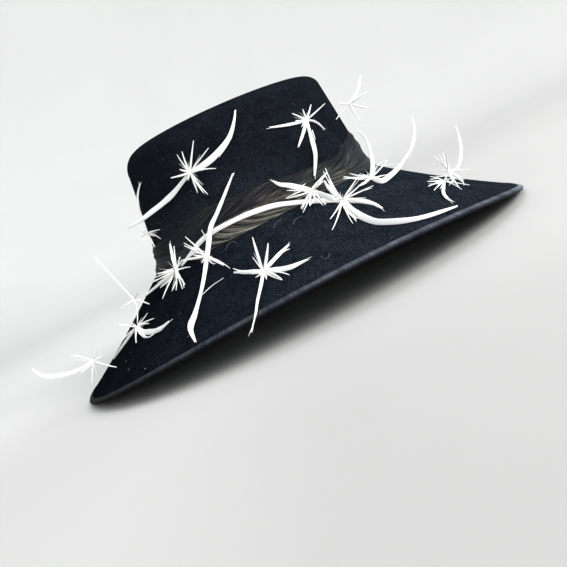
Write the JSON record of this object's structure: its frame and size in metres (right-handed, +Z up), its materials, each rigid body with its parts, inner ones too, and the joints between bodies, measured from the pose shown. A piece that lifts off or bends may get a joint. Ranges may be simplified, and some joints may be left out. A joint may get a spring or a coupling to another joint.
{
  "type": "wide-brimmed felt hat",
  "caption": "Wide-brimmed felt hat with a flat-topped crown, a bound rim, a draped horsehair band and sprays of white quills; it is worn on a head and rests on its rim.",
  "frame": {"origin": "on the surface that the hat rests on, under the middle of its bounding box", "axes": "+X towards the front of the hat, +Z up through the crown, the trimmed side at -Y"},
  "size_m": [0.4208, 0.372, 0.1719],
  "materials": {
    "felt": "near-black navy velour felt with a short soft nap",
    "ribbon": "navy grosgrain ribbon with fine cross ribs and a slight sheen",
    "horsehair": "bronze-brown horsehair cloth, sheer, with fine glossy strands",
    "quill": "white stripped quills, matte"
  },
  "bodies": {
    "root": {"crown": "felt", "brim": "felt", "brim_binding": "ribbon", "horsehair_band": "horsehair", "spray_crown_back": "quill", "spray_crown_front": "quill", "spray_crown_far": "quill", "spray_band_front": "quill", "spray_brim_front": "quill", "spray_band_side": "quill", "spray_band_top": "quill", "spray_band_back": "quill", "spray_back_low": "quill", "spray_brim_side": "quill", "spray_back_high": "quill", "spray_back_side": "quill", "spray_back_rim": "quill", "spray_crown_edge": "quill"}
  },
  "joints": []
}
